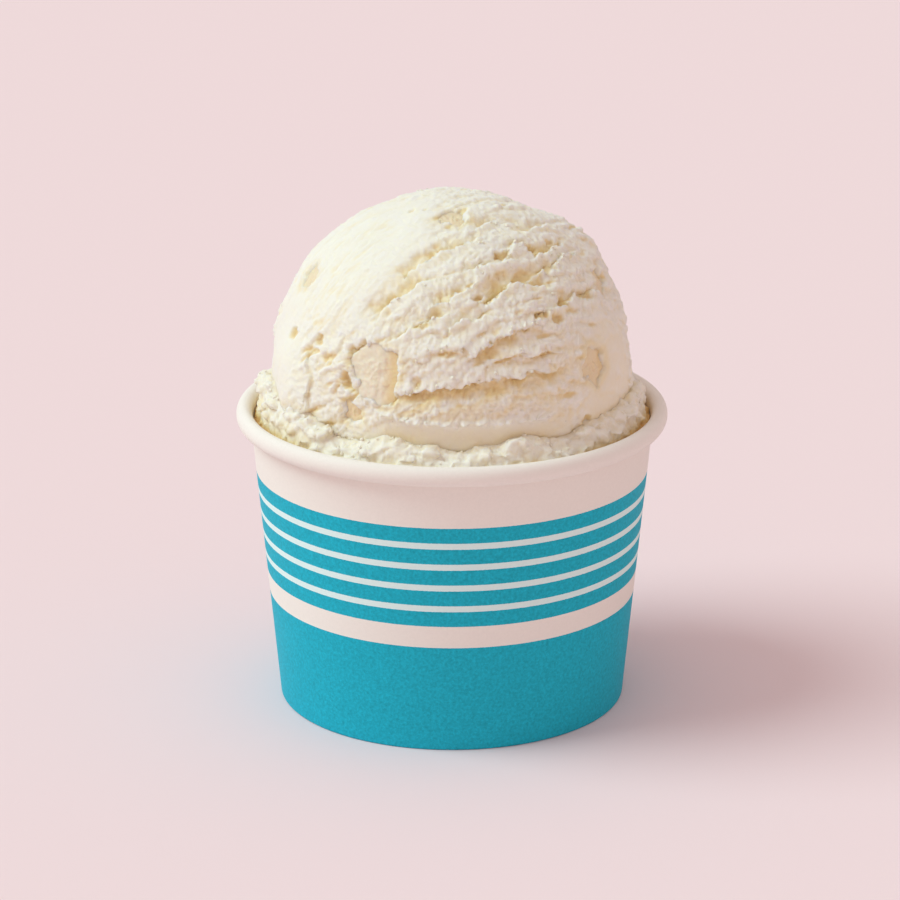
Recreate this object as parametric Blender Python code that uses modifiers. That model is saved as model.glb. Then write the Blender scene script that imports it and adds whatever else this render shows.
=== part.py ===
"""A scoop of fruit gelato in a striped paper cup.

Metres, +Z up, the table at z = 0 and the cup's axis on Z. The front, where the big piece of
fruit shows, looks along -Y. Angles are in degrees: azimuth runs from the front (-Y) towards
+X, elevation runs up from the scoop's middle.
"""
import math

import bmesh
import bpy
from mathutils import Matrix, Vector, noise

MM = 0.001

# ---- driving dimensions: the paper cup ----
CUP_HEIGHT = 53.0 * MM
RIM_RADIUS = 37.5 * MM  # outside of the rolled rim
RIM_WIDTH = 2.8 * MM
RIM_HEIGHT = 3.4 * MM
BASE_RADIUS = 30.3 * MM  # outside of the wall at the table
PAPER = 0.4 * MM  # coated board of the wall
BASE_PAPER = 0.3 * MM  # thinner board of the base
FIT_GAP = 0.3 * MM  # clearance between touching pieces
HEM_HEIGHT = 5.0 * MM  # how far the wall is folded up inside
HEM_CORNER = 0.35 * MM
FLANGE_FOOT = 1.4 * MM  # lower edge of the base disc's flange
CURL_END = -125.0  # where the rolled edge stops, under the rim
ROUND_STEPS = 60

# ---- driving dimensions: the gelato ----
SCOOP_CENTRE = Vector((0.2 * MM, 0.0, 59.2 * MM))
SCOOP_RADIUS = 31.0 * MM
SCOOP_FOOT = -5.0  # elevation where the scoop meets the skirt round it
SCOOP_ROWS = 23
FILL_TOP = 47.0 * MM  # the gelato touches the wall up to here
FILL_CORNER = 1.0 * MM
GELATO_STEPS = 72

# Skirt round the scoop, from the crease beside the scoop outwards and down to the fill.
SKIRT = [(30.7, 55.6), (31.4, 56.5), (32.3, 56.7), (33.0, 55.4), (33.4, 53.2), (33.6, 50.8), (33.7, 48.9)]
# The same rows where the front lies open: a shallow bed of crumbs under a smooth band.
CRUMB_BED = [(30.9, 55.4), (31.2, 54.6), (31.8, 54.9), (32.6, 54.8), (33.4, 53.8), (33.9, 52.0), (34.1, 49.6)]
BED_MIDDLE = -2.0
BED_HALF_ANGLE = 36.0
BED_FADE = 14.0

# Ridges that the scoop dragged up: name, kind, three points (azimuth, elevation), depth and reach in mm.
# A hollow deepens downwards and ends at its lip; a ledge overhangs and then comes gently out.
HOLLOW, LEDGE = 1.0, -1.0
DRAGGED_RIDGES = [
    ("upper_left", HOLLOW, ((-21, 48), (-14, 51), (-7, 55)), 1.0, 4.0),
    ("upper_right", HOLLOW, ((-7, 54), (6, 58), (19, 60)), 1.1, 4.0),
    ("crown_right", HOLLOW, ((20, 66), (36, 67), (52, 63)), 0.9, 3.5),
    ("shoulder_right", HOLLOW, ((42, 52), (54, 53), (68, 54)), 1.0, 3.5),
    ("middle_left", HOLLOW, ((-27, 31), (-21, 38), (-12, 44)), 1.2, 4.5),
    ("middle", HOLLOW, ((-7, 36), (2, 40), (12, 46)), 1.1, 4.0),
    ("middle_right", HOLLOW, ((13, 37), (25, 41), (41, 40)), 1.6, 5.0),
    ("lower_left", HOLLOW, ((-20, 25), (-12, 31), (-2, 33)), 1.0, 4.0),
    ("lower_middle", HOLLOW, ((-2, 27), (4, 30), (12, 32)), 0.8, 3.0),
    ("right_notches", HOLLOW, ((31, 30), (45, 33), (68, 33)), 0.8, 3.0),
    ("long_ledge", LEDGE, ((5, 21), (16, 27), (35, 29)), 1.0, 4.5),
    ("deep_ledge", LEDGE, ((-16, 9), (6, 12), (34, 13)), 1.5, 7.0),
    ("back_high", HOLLOW, ((140, 48), (165, 52), (190, 50)), 1.2, 4.5),
    ("back_middle", HOLLOW, ((120, 30), (150, 34), (180, 31)), 1.4, 5.0),
    ("back_low", LEDGE, ((150, 14), (180, 17), (215, 13)), 1.3, 5.5),
    ("left_back", HOLLOW, ((-150, 38), (-132, 41), (-116, 46)), 1.0, 4.0),
    ("back_crown", HOLLOW, ((150, 66), (185, 68), (215, 63)), 0.9, 3.5),
    ("right_back", LEDGE, ((104, 12), (118, 16), (134, 14)), 1.1, 4.5),
    ("left_low", LEDGE, ((-168, 2), (-150, 6), (-128, 3)), 1.0, 4.0),
    ("left_fold", LEDGE, ((-54, -9), (-52, 3), (-56, 15)), 1.3, 4.5),
]
RIDGE_LIP = 0.35 * MM
LIP_REACH = 1.6 * MM
RIDGE_SAMPLES = 20
END_FADE = 2.5 * MM  # how far past its ends a stroke still shows
END_SHARE = 0.45  # how deep it is at its very ends, before smoothing
END_TAPER = 0.15  # share of its length over which it reaches full depth

# Broad swells and dents of the ball: azimuth, elevation, height in mm, angular radius.
SWELLS = [
    (107, 42, 1.5, 15),
    (126, 62, -0.7, 11),
    (-102, 33, 0.7, 14),
    (-95, 14, 0.5, 6),
    (-88, -3, 1.5, 10),
    (-62, -3, 1.7, 11),
    (-66, 9, 0.6, 8),
    (-120, -4, 1.3, 12),
    (97, 19, 0.3, 6),
    (94, 9, -0.7, 8),
    (-24, 12, -0.6, 14),
    (-36, -1, -0.6, 9),
    (8, 6, -0.5, 10),
]
# The lip that the scoop's edge left all along the front, above the smooth band.
FRONT_LIP = ((-24, 1), (4, -1), (32, 0))
FRONT_LIP_HEIGHT = 0.7 * MM
FRONT_LIP_REACH = 1.3 * MM
LUMP_HEIGHT = 0.35 * MM
LUMP_SPACING = 7.0 * MM
SKIRT_LUMP_HEIGHT = 1.3 * MM
SKIRT_LUMP_SPACING = 4.5 * MM
SKIRT_LUMP_SPREAD = 0.5  # how much of a lump's height it also stands out sideways
BED_LUMP_SHARE = 0.5  # how much lower the lumps are in the bed of crumbs

# Fruit, cut up with a knife: azimuth, elevation, side cuts as (angle, distance from the middle in mm),
# depth in mm, and how far in mm its face stands out of the scoop.
FRUIT = [
    (-25, 13, ((178, 5), (130, 4.6), (80, 5.4), (35, 5.4), (-12, 4.4), (-105, 4.6), (-150, 3.9)), 6.5, 0.6),
    (52, 11, ((180, 3.9), (120, 3.6), (60, 3.7), (5, 3.6), (-50, 3.2), (-125, 3.1)), 5.0, 0.4),
    (0, 72, ((170, 2.7), (100, 2.6), (30, 2.8), (-40, 2.7), (-110, 2.6)), 5.0, 0.3),
    (-76, 36, ((150, 2.6), (75, 2.5), (10, 2.7), (-70, 2.6), (-130, 2.8)), 5.0, 0.3),
    (-34, -1, ((175, 2.3), (95, 2.9), (20, 2.2), (-60, 2.6), (-120, 2.3)), 4.0, 0.2),
    (77, 35, ((160, 2.4), (80, 2.3), (0, 2.5), (-80, 2.4)), 4.0, 0.3),
    (158, 24, ((175, 4.1), (110, 3.6), (40, 4.4), (-30, 3.9), (-100, 3.8)), 6.5, 0.5),
    (-138, 12, ((160, 3.5), (90, 4.2), (25, 3.6), (-60, 4.0), (-120, 3.7)), 6.0, 0.5),
    (-170, 56, ((180, 3.0), (115, 2.8), (50, 3.2), (-30, 2.7), (-100, 3.0)), 5.0, 0.4),
]
FACE_TILTS = (-4, 9)  # the face that shows is two cuts that lean to the left and to the right
BLOCK_SIZE = 16.0 * MM  # the block that each piece is cut from

# ---- colours (linear), roughness ----
COLOURS = {
    "cup_board": ((0.80, 0.72, 0.70), 0.55),
    "base_board": ((0.78, 0.71, 0.68), 0.60),
    "gelato": ((0.86, 0.79, 0.62), 0.50),
    "fruit": ((0.82, 0.70, 0.45), 0.30),
}


def clear_scene():
    for thing in list(bpy.data.objects):
        bpy.data.objects.remove(thing, do_unlink=True)


def collection_named(name):
    group = bpy.data.collections.new(name)
    bpy.context.scene.collection.children.link(group)
    return group


def finish(name):
    """A material of its own for each piece: colour and roughness of its stuff."""
    colour, roughness = COLOURS[name]
    material = bpy.data.materials.new(name)
    material.use_nodes = True
    surface = material.node_tree.nodes["Principled BSDF"]
    surface.inputs["Base Color"].default_value = (*colour, 1.0)
    surface.inputs["Roughness"].default_value = roughness
    surface.inputs["Metallic"].default_value = 0.0
    return material


def turned(name, profile, group, closed=False, steps=ROUND_STEPS):
    """A profile of (radius, height) points turned about Z by a Screw modifier."""
    mesh = bpy.data.meshes.new(name)
    mesh.from_pydata([(r, 0.0, z) for r, z in profile], [], [])
    count = len(profile)
    mesh.edges.add(count if closed else count - 1)
    for i, edge in enumerate(mesh.edges):
        edge.vertices = (i, (i + 1) % count)
    thing = bpy.data.objects.new(name, mesh)
    group.objects.link(thing)
    screw = thing.modifiers.new("turn", "SCREW")
    screw.axis = "Z"
    screw.angle = math.tau
    screw.steps = steps
    screw.render_steps = steps
    screw.use_merge_vertices = True
    screw.merge_threshold = 0.00001
    return thing


def ellipse_arc(centre, half_width, half_height, start, end, segments):
    """Points on an ellipse from one angle to another, both ends included."""
    angles = [math.radians(start + (end - start) * i / segments) for i in range(segments + 1)]
    return [(centre[0] + half_width * math.cos(a), centre[1] + half_height * math.sin(a)) for a in angles]


# ---- the paper cup ----
ROLL_CENTRE = (RIM_RADIUS - RIM_WIDTH / 2, CUP_HEIGHT - RIM_HEIGHT / 2)
WALL_SLOPE = (ROLL_CENTRE[0] - RIM_WIDTH / 2 + PAPER - BASE_RADIUS) / ROLL_CENTRE[1]
SLOT = BASE_PAPER + 2 * FIT_GAP  # room for the base's flange inside the folded hem


def wall_outside(z):
    return BASE_RADIUS + WALL_SLOPE * z


def wall_inside(z):
    return wall_outside(z) - PAPER


def cup_wall_profile():
    """One strip of board: rolled out at the top, straight, folded up inside at the bottom."""
    half_width, half_height = RIM_WIDTH / 2, RIM_HEIGHT / 2
    rolled_face = ellipse_arc(ROLL_CENTRE, half_width, half_height, 180, CURL_END, 10)
    hidden_face = ellipse_arc(ROLL_CENTRE, half_width - PAPER, half_height - PAPER, CURL_END, 180, 7)
    fold_outer = PAPER + SLOT
    fold_inner = fold_outer + PAPER
    hem = [
        (wall_outside(HEM_CORNER), HEM_CORNER),
        (wall_outside(0) - HEM_CORNER, 0.0),
        (wall_outside(0) - fold_inner + HEM_CORNER, 0.0),
        (wall_outside(HEM_CORNER) - fold_inner, HEM_CORNER),
        (wall_outside(HEM_HEIGHT) - fold_inner, HEM_HEIGHT),
        (wall_outside(HEM_HEIGHT) - fold_outer, HEM_HEIGHT),
        (wall_outside(PAPER) - fold_outer, PAPER),
        (wall_inside(PAPER), PAPER),
    ]
    return rolled_face + hidden_face + hem


def base_profile():
    """A disc with its edge turned down into the wall's hem, from its middle outwards."""
    top = HEM_HEIGHT + FIT_GAP + BASE_PAPER
    under = HEM_HEIGHT + FIT_GAP
    inset = PAPER + FIT_GAP
    corner = BASE_PAPER
    return [
        (0.0, top),
        (wall_outside(top) - inset - corner, top),
        (wall_outside(under) - inset, under),
        (wall_outside(FLANGE_FOOT) - inset, FLANGE_FOOT),
        (wall_outside(FLANGE_FOOT) - inset - BASE_PAPER, FLANGE_FOOT),
        (wall_outside(under) - inset - BASE_PAPER, under),
        (0.0, under),
    ]


# ---- the gelato ----
def direction(azimuth, elevation):
    """Unit vector for an azimuth from the front and an elevation."""
    a, e = math.radians(azimuth), math.radians(elevation)
    return Vector((math.sin(a) * math.cos(e), -math.cos(a) * math.cos(e), math.sin(e)))


def smooth(x):
    x = min(max(x, 0.0), 1.0)
    return x * x * (3 - 2 * x)


def stroke(points):
    """A stroke over the ball: unit vectors along it, its heading and its upward side."""
    (a0, e0), (a1, e1), (a2, e2) = points
    places = []
    for i in range(RIDGE_SAMPLES + 1):
        t = i / RIDGE_SAMPLES
        start, middle, end = (1 - t) * (1 - 2 * t), 4 * t * (1 - t), t * (2 * t - 1)
        places.append(direction(a0 * start + a1 * middle + a2 * end, e0 * start + e1 * middle + e2 * end))
    marks = []
    for i, place in enumerate(places):
        ahead = places[min(i + 1, RIDGE_SAMPLES)] - places[max(i - 1, 0)]
        up = place.cross(ahead).normalized()
        marks.append((place, up, i / RIDGE_SAMPLES))
    return marks


def along_stroke(marks, way):
    """How far a direction lies above the stroke (metres) and how strongly the stroke counts there."""
    place, up, t = max(marks, key=lambda mark: mark[0].dot(way))
    above = (way - place).dot(up) * SCOOP_RADIUS
    beside = way - place - up * (way - place).dot(up)
    past_end = beside.length * SCOOP_RADIUS
    strength = smooth(1 - past_end / END_FADE) * smooth(min(t, 1 - t) / END_TAPER + END_SHARE)
    return above, strength


STROKES = [(stroke(points), kind, depth * MM, reach * MM) for _, kind, points, depth, reach in DRAGGED_RIDGES]
LIP_STROKE = stroke(FRONT_LIP)


def swell_height(way):
    """Height of the broad swells and dents, in metres."""
    height = 0.0
    for azimuth, elevation, rise, radius in SWELLS:
        off = math.degrees(way.angle(direction(azimuth, elevation)))
        height += rise * MM * math.exp(-((off / radius) ** 2))
    return height


def relief(way):
    """Height of the scoop's surface over its plain ball, in metres."""
    cut = 0.0
    raised = 0.0
    for marks, kind, depth, reach in STROKES:
        above, strength = along_stroke(marks, way)
        side = above * kind
        if 0 <= side < reach:
            cut = max(cut, strength * depth * (1 - side / reach))
        elif -LIP_REACH < side < 0:
            raised = max(raised, strength * RIDGE_LIP * (1 + side / LIP_REACH))
    above, strength = along_stroke(LIP_STROKE, way)
    raised = max(raised, strength * FRONT_LIP_HEIGHT * smooth(1 - abs(above) / FRONT_LIP_REACH))
    place = way * (SCOOP_RADIUS / LUMP_SPACING)
    return swell_height(way) - cut + raised + LUMP_HEIGHT * noise.noise(place)


def bed_share(azimuth):
    """1 where the front lies open as a bed of crumbs, 0 where the skirt stands up."""
    off = abs((azimuth - BED_MIDDLE + 180) % 360 - 180)
    return 1 - smooth((off - BED_HALF_ANGLE) / BED_FADE)


def scoop_elevations():
    return [90 + (SCOOP_FOOT - 90) * i / SCOOP_ROWS for i in range(SCOOP_ROWS + 1)]


def gelato_rows():
    """The turned outline that the gelato starts from: ball, skirt, then the filling in the cup."""
    ball = [
        (SCOOP_RADIUS * math.cos(math.radians(e)), SCOOP_CENTRE.z + SCOOP_RADIUS * math.sin(math.radians(e)))
        for e in scoop_elevations()
    ]
    ball[0] = (0.0, SCOOP_CENTRE.z + SCOOP_RADIUS)
    skirt = [(r * MM, z * MM) for r, z in SKIRT]
    floor = HEM_HEIGHT + 2 * FIT_GAP + BASE_PAPER
    filling = [
        (wall_inside(FILL_TOP) - FIT_GAP, FILL_TOP),
        (wall_inside(floor + FILL_CORNER) - FIT_GAP, floor + FILL_CORNER),
        (wall_inside(floor) - FIT_GAP - FILL_CORNER, floor),
        (0.0, floor),
    ]
    return ball, skirt, filling


def shape_gelato(thing):
    """Moves each point of the turned form to where the dragged, ragged gelato has it."""
    ball, skirt, filling = gelato_rows()
    elevations = scoop_elevations()
    rows = ball + skirt + filling
    for vertex in thing.data.vertices:
        place = vertex.co
        radius = math.hypot(place.x, place.y)
        azimuth = math.degrees(math.atan2(place.x, -place.y))
        row = min(range(len(rows)), key=lambda i: abs(rows[i][0] - radius) + abs(rows[i][1] - place.z))
        if row < len(ball):
            way = direction(azimuth, elevations[row])
            vertex.co = SCOOP_CENTRE + way * (SCOOP_RADIUS + relief(way))
        elif row < len(ball) + len(skirt):
            step = row - len(ball)
            share = bed_share(azimuth)
            r = (SKIRT[step][0] * (1 - share) + CRUMB_BED[step][0] * share) * MM
            z = (SKIRT[step][1] * (1 - share) + CRUMB_BED[step][1] * share) * MM
            lump = noise.noise(place / SKIRT_LUMP_SPACING) * SKIRT_LUMP_HEIGHT
            r = min(r + SKIRT_LUMP_SPREAD * lump, wall_inside(z) - FIT_GAP)
            z += lump * (1 - BED_LUMP_SHARE * share)
            a = math.radians(azimuth)
            vertex.co = Vector((r * math.sin(a), -r * math.cos(a), z))


def slanted(angle, lean):
    """Unit normal of a cut: its angle round the piece's face, and its lean out of the side."""
    a, lift = math.radians(angle), math.radians(lean)
    return Vector((math.cos(a) * math.cos(lift), -math.sin(lift), math.sin(a) * math.cos(lift)))


def fruit_chunk(name, cuts, depth, grow, group):
    """A piece of fruit, cut from a block: straight side cuts, a face of two cuts, and a back."""
    half = depth * MM / 2
    planes = [(slanted(angle, 0), distance * MM) for angle, distance in cuts]
    planes += [(slanted(0, 90 - tilt), half) for tilt in FACE_TILTS]
    planes.append((slanted(0, -90), half))
    shell = bmesh.new()
    bmesh.ops.create_cube(shell, size=BLOCK_SIZE)
    for normal, distance in planes:
        cut = bmesh.ops.bisect_plane(
            shell,
            geom=shell.verts[:] + shell.edges[:] + shell.faces[:],
            plane_co=normal * (distance + grow),
            plane_no=normal,
            clear_outer=True,
        )
        edges = [part for part in cut["geom_cut"] if isinstance(part, bmesh.types.BMEdge)]
        bmesh.ops.contextual_create(shell, geom=edges)
    bmesh.ops.recalc_face_normals(shell, faces=shell.faces[:])
    mesh = bpy.data.meshes.new(name)
    shell.to_mesh(mesh)
    shell.free()
    thing = bpy.data.objects.new(name, mesh)
    group.objects.link(thing)
    return thing


def fruit_placement(azimuth, elevation, depth, proud):
    """Turns a piece so that its -Y face looks out of the scoop, with that face at the surface."""
    way = direction(azimuth, elevation)
    surface = SCOOP_RADIUS + swell_height(way) + proud * MM
    middle = SCOOP_CENTRE + way * (surface - depth * MM / 2)
    turn = Matrix.Rotation(math.radians(azimuth), 4, "Z")
    tip = Matrix.Rotation(math.radians(-elevation), 4, "X")
    return Matrix.Translation(middle) @ turn @ tip


def build():
    clear_scene()
    parts = collection_named("gelato_cup")
    cutters = collection_named("cutters")

    wall = turned("cup_wall", cup_wall_profile(), parts, closed=True)
    wall.data.materials.append(finish("cup_board"))
    base = turned("cup_base", base_profile(), parts)
    base.data.materials.append(finish("base_board"))

    ball, skirt, filling = gelato_rows()
    blank = turned("gelato_blank", ball + skirt + filling, cutters, steps=GELATO_STEPS)
    evaluated = blank.evaluated_get(bpy.context.evaluated_depsgraph_get())
    gelato_mesh = bpy.data.meshes.new_from_object(evaluated)
    bpy.data.objects.remove(blank, do_unlink=True)
    gelato = bpy.data.objects.new("ice_cream", gelato_mesh)
    parts.objects.link(gelato)
    shape_gelato(gelato)
    gelato.data.materials.append(finish("gelato"))

    for number, (azimuth, elevation, cuts, depth, proud) in enumerate(FRUIT, start=1):
        placement = fruit_placement(azimuth, elevation, depth, proud)
        piece = fruit_chunk(f"fruit_piece_{number}", cuts, depth, 0.0, parts)
        piece.matrix_world = placement
        piece.data.materials.append(finish("fruit"))
        cutter = fruit_chunk(f"fruit_pocket_{number}", cuts, depth, FIT_GAP, cutters)
        cutter.matrix_world = placement
        cutter.hide_render = True
        cutter.display_type = "WIRE"
        pocket = gelato.modifiers.new(f"pocket_{number}", "BOOLEAN")
        pocket.operation = "DIFFERENCE"
        pocket.solver = "EXACT"
        pocket.object = cutter


build()
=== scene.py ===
# %% [markdown]
# # A scoop of fruit gelato in a striped paper cup
#
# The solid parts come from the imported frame: a paper cup, its base, the gelato and nine pieces of
# fruit. This lesson gives each of them the shape and finish of the real thing. Lengths are written
# in millimetres and turned into metres once. The front of the cup looks along -Y.

import math

import bmesh
import bpy
import numpy as np
from mathutils import Matrix, Vector


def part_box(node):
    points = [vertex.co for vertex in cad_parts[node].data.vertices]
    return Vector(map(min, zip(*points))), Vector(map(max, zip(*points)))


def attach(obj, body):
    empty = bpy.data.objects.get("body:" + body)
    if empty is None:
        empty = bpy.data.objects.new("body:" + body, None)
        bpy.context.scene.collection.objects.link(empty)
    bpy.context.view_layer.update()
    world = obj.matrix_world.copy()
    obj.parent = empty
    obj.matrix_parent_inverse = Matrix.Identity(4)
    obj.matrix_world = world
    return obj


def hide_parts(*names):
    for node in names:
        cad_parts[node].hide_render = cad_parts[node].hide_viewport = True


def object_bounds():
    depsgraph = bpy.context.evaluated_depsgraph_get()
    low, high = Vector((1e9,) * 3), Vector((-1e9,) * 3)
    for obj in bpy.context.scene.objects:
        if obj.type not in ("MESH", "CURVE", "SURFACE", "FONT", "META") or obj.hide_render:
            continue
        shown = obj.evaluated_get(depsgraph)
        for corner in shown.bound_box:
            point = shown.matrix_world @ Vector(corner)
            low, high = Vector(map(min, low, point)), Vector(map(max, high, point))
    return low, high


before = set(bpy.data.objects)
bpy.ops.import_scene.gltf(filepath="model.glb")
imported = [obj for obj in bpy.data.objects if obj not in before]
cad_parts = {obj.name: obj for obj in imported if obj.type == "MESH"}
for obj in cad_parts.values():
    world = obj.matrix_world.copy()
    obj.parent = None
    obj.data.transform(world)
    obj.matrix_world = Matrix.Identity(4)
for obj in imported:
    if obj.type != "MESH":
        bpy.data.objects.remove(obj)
cad_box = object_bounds()
MM = 0.001
cup_low, cup_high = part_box("cup_wall")
CUP_HEIGHT = cup_high[2] / MM
RIM_RADIUS = (cup_high[0] - cup_low[0]) / 2 / MM
print(f"cup {CUP_HEIGHT:.1f} mm tall, rim radius {RIM_RADIUS:.2f} mm")

# %% [markdown]
# ## Three small helpers
#
# Colours are picked as sRGB hex values, the way a paint chart gives them, and shaders want linear
# light, so one function converts them. A second adds a node with its settings and links, and a
# third makes an empty material with its Principled shader.

# %% Colour, node and material helpers


def linear(colour):
    """'RRGGBB' in sRGB to linear RGBA."""
    parts = [int(colour[i : i + 2], 16) / 255 for i in (0, 2, 4)]
    return (*[c / 12.92 if c <= 0.04045 else ((c + 0.055) / 1.055) ** 2.4 for c in parts], 1.0)


def add(tree, kind, inputs=None, **settings):
    """Adds a node. An input is a value, or a socket to link from."""
    made = tree.nodes.new(kind)
    for name, value in settings.items():
        setattr(made, name, value)
    for name, value in (inputs or {}).items():
        if isinstance(value, bpy.types.NodeSocket):
            tree.links.new(value, made.inputs[name])
        else:
            made.inputs[name].default_value = value
    return made


def new_material(name):
    """A material with its tree and its Principled shader."""
    material = bpy.data.materials.new(name)
    material.use_nodes = True
    return material, material.node_tree, material.node_tree.nodes["Principled BSDF"]


def place_on_root(piece, slot, *nodes):
    """The piece rides with the cup and stands for its CAD nodes; slot is not used."""
    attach(piece, "root")
    if nodes:
        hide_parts(*nodes)


print("helpers ready")

# %% [markdown]
# ## The set: floor, daylight and camera
#
# The cup stands on pale pink paper. A broad soft key light comes from the left, high and a little
# to the front, and everything round it is pink too, so the shadow stays light and warm. A sun lamp
# with a wide angle gives the soft key. The world gives the fill: pink from the walls of the room,
# paler from its ceiling.

# %% Floor, light and camera
FLOOR_SIZE = 8.0
floor_mesh = bpy.data.meshes.new("floor")
shape = bmesh.new()
bmesh.ops.create_grid(shape, x_segments=1, y_segments=1, size=FLOOR_SIZE / 2)
shape.to_mesh(floor_mesh)
shape.free()
floor = bpy.data.objects.new("floor", floor_mesh)
bpy.context.scene.collection.objects.link(floor)
paper_floor, tree, surface = new_material("pink_backdrop_paper")
surface.inputs["Base Color"].default_value = linear("F5DEE0")
surface.inputs["Roughness"].default_value = 0.9
surface.inputs["Specular IOR Level"].default_value = 0.2
floor.data.materials.append(paper_floor)

world = bpy.data.worlds.new("pink_room")
bpy.context.scene.world = world
world.use_nodes = True
WALL_LIGHT, CEILING_LIGHT = (0.64, 0.48, 0.47, 1.0), (0.63, 0.57, 0.55, 1.0)
room = world.node_tree
toward = add(room, "ShaderNodeTexCoord").outputs["Generated"]
height = add(room, "ShaderNodeSeparateXYZ", {"Vector": toward}).outputs["Z"]
light = add(room, "ShaderNodeMix", {0: height, 6: WALL_LIGHT, 7: CEILING_LIGHT}, data_type="RGBA")
room.links.new(light.outputs[2], room.nodes["Background"].inputs["Color"])

KEY_FROM = Vector((-0.676, -0.08, 0.731))
key = bpy.data.lights.new("key", "SUN")
key.energy = 1.83
key.color = (0.73, 0.98, 0.99)
key.angle = math.radians(36)
key_lamp = bpy.data.objects.new("key", key)
key_lamp.rotation_euler = KEY_FROM.to_track_quat("Z", "Y").to_euler()
bpy.context.scene.collection.objects.link(key_lamp)

CAMERA_TILT = 18.4
camera_data = bpy.data.cameras.new("camera")
camera_data.lens = 158.9
camera_data.sensor_width = 36.0
camera = bpy.data.objects.new("camera", camera_data)
camera.location = (-0.00033, -0.6585, 0.2631)
camera.rotation_euler = (math.radians(90 - CAMERA_TILT), 0, 0)
bpy.context.scene.collection.objects.link(camera)
bpy.context.scene.camera = camera
bpy.context.scene.view_settings.view_transform = "Standard"
print("set ready")

# %% [markdown]
# ## The cup: one profile, turned
#
# A paper cup's wall is one strip of board. At the top it is rolled outwards into a hollow curl, at
# the foot it is folded up inside round the edge of the base. Its cross-section is the same all the
# way round, so the shape follows a rule: turn the profile about Z. A Geometry Nodes tree does it:
# it lays out a grid, reads each row's radius and height from the profile's points, and bends the
# grid into a ring. The same tree thickens the wall over a narrow band, where the strip laps over
# itself at the back.

# %% Profile of the cup's wall
RIM_WIDTH, RIM_HEIGHT = 2.8, 3.4
BASE_RADIUS = 30.3
BOARD, BASE_BOARD = 0.4, 0.3
FIT_GAP = 0.3
HEM_HEIGHT, HEM_CORNER = 5.0, 0.35
FLANGE_FOOT = 1.4
CURL_END = -125.0
ROLL_CENTRE = (RIM_RADIUS - RIM_WIDTH / 2, CUP_HEIGHT - RIM_HEIGHT / 2)
WALL_SLOPE = (ROLL_CENTRE[0] - RIM_WIDTH / 2 + BOARD - BASE_RADIUS) / ROLL_CENTRE[1]


def wall_outside(z):
    return BASE_RADIUS + WALL_SLOPE * z


def wall_inside(z):
    return wall_outside(z) - BOARD


def arc(centre, half_width, half_height, start, end, segments):
    """Points on an ellipse between two angles in degrees."""
    angles = np.radians(np.linspace(start, end, segments + 1))
    return [(centre[0] + half_width * math.cos(a), centre[1] + half_height * math.sin(a)) for a in angles]


def wall_profile():
    half_width, half_height = RIM_WIDTH / 2, RIM_HEIGHT / 2
    rolled = arc(ROLL_CENTRE, half_width, half_height, 180, CURL_END, 40)
    hidden = arc(ROLL_CENTRE, half_width - BOARD, half_height - BOARD, CURL_END, 180, 16)
    fold_outer = BOARD + BASE_BOARD + 2 * FIT_GAP
    fold_inner = fold_outer + BOARD
    foot_outer = (wall_outside(HEM_CORNER) - HEM_CORNER, HEM_CORNER)
    foot_inner = (wall_outside(HEM_CORNER) - fold_inner + HEM_CORNER, HEM_CORNER)
    straight = [(wall_outside(z), z) for z in np.linspace(ROLL_CENTRE[1] - 1, 1.0, 24)]
    foot = arc(foot_outer, HEM_CORNER, HEM_CORNER, 0, -90, 5)
    foot += arc(foot_inner, HEM_CORNER, HEM_CORNER, -90, -180, 5)
    inside = [
        (wall_outside(HEM_HEIGHT) - fold_inner, HEM_HEIGHT),
        (wall_outside(HEM_HEIGHT) - fold_outer, HEM_HEIGHT),
        (wall_outside(BOARD) - fold_outer, BOARD),
        (wall_inside(BOARD), BOARD),
        (wall_inside(20), 20),
        (wall_inside(44), 44),
    ]
    return rolled + hidden + straight + foot + inside


def base_profile():
    top = HEM_HEIGHT + FIT_GAP + BASE_BOARD
    under = HEM_HEIGHT + FIT_GAP
    inset = BOARD + FIT_GAP
    return [
        (0.0, top),
        (wall_outside(top) - inset - 0.6, top),
        (wall_outside(top) - inset - 0.15, top - 0.15),
        (wall_outside(under) - inset, under - 0.3),
        (wall_outside(FLANGE_FOOT) - inset, FLANGE_FOOT),
        (wall_outside(FLANGE_FOOT) - inset - BASE_BOARD, FLANGE_FOOT),
        (wall_outside(under) - inset - BASE_BOARD, under - 0.45),
        (wall_outside(under) - inset - BASE_BOARD - 0.3, under),
        (0.0, under),
    ]


print(len(wall_profile()), "points in the wall's profile")

# %% Geometry Nodes: turn a profile about Z


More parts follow.
